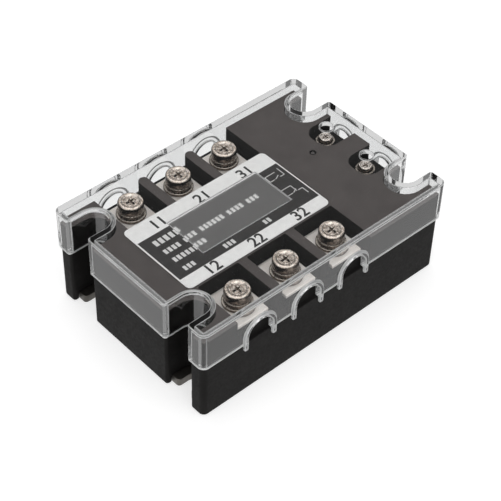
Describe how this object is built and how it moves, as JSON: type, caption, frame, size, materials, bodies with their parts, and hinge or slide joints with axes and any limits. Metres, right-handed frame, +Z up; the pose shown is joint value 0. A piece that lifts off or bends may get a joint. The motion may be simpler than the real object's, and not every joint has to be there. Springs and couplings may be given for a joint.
{
  "type": "solid state relay",
  "caption": "Three-phase solid state relay: black housing with screw terminals on a metal base plate, under a clear lift-off cover with cable arches and corner mounting slots.",
  "frame": {"origin": "middle of the base plate's underside, midway between the four mounting slots", "axes": "+Z up from the base plate to the cover, +X along the long side towards the control terminals, +Y towards the line terminals"},
  "size_m": [0.1057, 0.0746, 0.0376],
  "materials": {
    "housing_plastic": "satin black moulded thermoplastic",
    "cover_plastic": "clear polycarbonate, with a frosted rectangle in the roof",
    "base_metal": "plain satin metal plate",
    "label_film": "silver film printed black in the middle",
    "light_pipe_plastic": "clear light pipe",
    "led_lens": "red lens",
    "board_laminate": "green printed board",
    "potting_resin": "dark cast resin",
    "screw_steel": "nickel-plated steel",
    "washer_steel": "nickel-plated steel",
    "terminal_nickel": "nickel-plated brass strip",
    "nut_steel": "plain plated steel",
    "ceramic": "white alumina",
    "silicon": "dark polished silicon",
    "chip_case": "black moulded case"
  },
  "bodies": {
    "base": {"housing": "housing_plastic", "base_plate": "base_metal", "label": "label_film", "light_pipe": "light_pipe_plastic", "status_led": "led_lens", "control_board": "board_laminate", "resin_fill": "potting_resin", "line_terminal_1": "terminal_nickel", "line_terminal_2": "terminal_nickel", "line_terminal_3": "terminal_nickel", "load_terminal_1": "terminal_nickel", "load_terminal_2": "terminal_nickel", "load_terminal_3": "terminal_nickel", "control_terminal_1": "terminal_nickel", "control_terminal_2": "terminal_nickel", "line_nut_1": "nut_steel", "line_nut_2": "nut_steel", "line_nut_3": "nut_steel", "load_nut_1": "nut_steel", "load_nut_2": "nut_steel", "load_nut_3": "nut_steel", "control_nut_1": "nut_steel", "control_nut_2": "nut_steel", "ceramic_substrate_1": "ceramic", "ceramic_substrate_2": "ceramic", "ceramic_substrate_3": "ceramic", "thyristor_chip_1": "silicon", "thyristor_chip_2": "silicon", "thyristor_chip_3": "silicon", "thyristor_chip_4": "silicon", "thyristor_chip_5": "silicon", "thyristor_chip_6": "silicon", "optocoupler_1": "chip_case", "optocoupler_2": "chip_case", "optocoupler_3": "chip_case"},
    "cover": {"clear_cover": "cover_plastic"},
    "line_washers_1": {"line_spring_washer_1": "washer_steel", "line_flat_washer_1": "washer_steel"},
    "line_washers_2": {"line_spring_washer_2": "washer_steel", "line_flat_washer_2": "washer_steel"},
    "line_washers_3": {"line_spring_washer_3": "washer_steel", "line_flat_washer_3": "washer_steel"},
    "load_washers_1": {"load_spring_washer_1": "washer_steel", "load_flat_washer_1": "washer_steel"},
    "load_washers_2": {"load_spring_washer_2": "washer_steel", "load_flat_washer_2": "washer_steel"},
    "load_washers_3": {"load_spring_washer_3": "washer_steel", "load_flat_washer_3": "washer_steel"},
    "line_bolt_1": {"line_screw_1": "screw_steel"},
    "line_bolt_2": {"line_screw_2": "screw_steel"},
    "line_bolt_3": {"line_screw_3": "screw_steel"},
    "load_bolt_1": {"load_screw_1": "screw_steel"},
    "load_bolt_2": {"load_screw_2": "screw_steel"},
    "load_bolt_3": {"load_screw_3": "screw_steel"},
    "control_jaw_1": {"control_clamp_1": "washer_steel"},
    "control_jaw_2": {"control_clamp_2": "washer_steel"},
    "control_bolt_1": {"control_screw_1": "screw_steel"},
    "control_bolt_2": {"control_screw_2": "screw_steel"}
  },
  "joints": [
    {"name": "cover_lift", "type": "slide", "parent": "base", "child": "cover", "axis": [0, 0, 1], "range_m": [0, 0.04]},
    {"name": "line_rise_1", "type": "slide", "parent": "base", "child": "line_washers_1", "axis": [0, 0, 1], "range_m": [0, 0.0012]},
    {"name": "line_rise_2", "type": "slide", "parent": "base", "child": "line_washers_2", "axis": [0, 0, 1], "range_m": [0, 0.0012]},
    {"name": "line_rise_3", "type": "slide", "parent": "base", "child": "line_washers_3", "axis": [0, 0, 1], "range_m": [0, 0.0012]},
    {"name": "load_rise_1", "type": "slide", "parent": "base", "child": "load_washers_1", "axis": [0, 0, 1], "range_m": [0, 0.0012]},
    {"name": "load_rise_2", "type": "slide", "parent": "base", "child": "load_washers_2", "axis": [0, 0, 1], "range_m": [0, 0.0012]},
    {"name": "load_rise_3", "type": "slide", "parent": "base", "child": "load_washers_3", "axis": [0, 0, 1], "range_m": [0, 0.0012]},
    {"name": "control_rise_1", "type": "slide", "parent": "base", "child": "control_jaw_1", "axis": [0, 0, 1], "range_m": [0, 0.0025]},
    {"name": "control_rise_2", "type": "slide", "parent": "base", "child": "control_jaw_2", "axis": [0, 0, 1], "range_m": [0, 0.0025]},
    {"name": "line_turn_1", "type": "hinge", "parent": "line_washers_1", "child": "line_bolt_1", "pos_m": [-0.0295, 0.0259, 0.0308], "axis": [0, 0, 1], "range_deg": [0, 540]},
    {"name": "line_turn_2", "type": "hinge", "parent": "line_washers_2", "child": "line_bolt_2", "pos_m": [-0.0095, 0.0259, 0.0308], "axis": [0, 0, 1], "range_deg": [0, 540]},
    {"name": "line_turn_3", "type": "hinge", "parent": "line_washers_3", "child": "line_bolt_3", "pos_m": [0.0105, 0.0259, 0.0308], "axis": [0, 0, 1], "range_deg": [0, 540]},
    {"name": "load_turn_1", "type": "hinge", "parent": "load_washers_1", "child": "load_bolt_1", "pos_m": [-0.0295, -0.0259, 0.0308], "axis": [0, 0, 1], "range_deg": [0, 540]},
    {"name": "load_turn_2", "type": "hinge", "parent": "load_washers_2", "child": "load_bolt_2", "pos_m": [-0.0095, -0.0259, 0.0308], "axis": [0, 0, 1], "range_deg": [0, 540]},
    {"name": "load_turn_3", "type": "hinge", "parent": "load_washers_3", "child": "load_bolt_3", "pos_m": [0.0105, -0.0259, 0.0308], "axis": [0, 0, 1], "range_deg": [0, 540]},
    {"name": "control_turn_1", "type": "hinge", "parent": "control_jaw_1", "child": "control_bolt_1", "pos_m": [0.0422, -0.0096, 0.0296], "axis": [0, 0, 1], "range_deg": [0, 1800]},
    {"name": "control_turn_2", "type": "hinge", "parent": "control_jaw_2", "child": "control_bolt_2", "pos_m": [0.0422, 0.0096, 0.0296], "axis": [0, 0, 1], "range_deg": [0, 1800]}
  ],
  "couplings": [
    {"joint": "line_turn_1", "follows": "line_rise_1", "rad_per_m": 7853.9},
    {"joint": "line_turn_2", "follows": "line_rise_2", "rad_per_m": 7853.9},
    {"joint": "line_turn_3", "follows": "line_rise_3", "rad_per_m": 7853.9},
    {"joint": "load_turn_1", "follows": "load_rise_1", "rad_per_m": 7853.9},
    {"joint": "load_turn_2", "follows": "load_rise_2", "rad_per_m": 7853.9},
    {"joint": "load_turn_3", "follows": "load_rise_3", "rad_per_m": 7853.9},
    {"joint": "control_turn_1", "follows": "control_rise_1", "rad_per_m": 12566},
    {"joint": "control_turn_2", "follows": "control_rise_2", "rad_per_m": 12566}
  ]
}
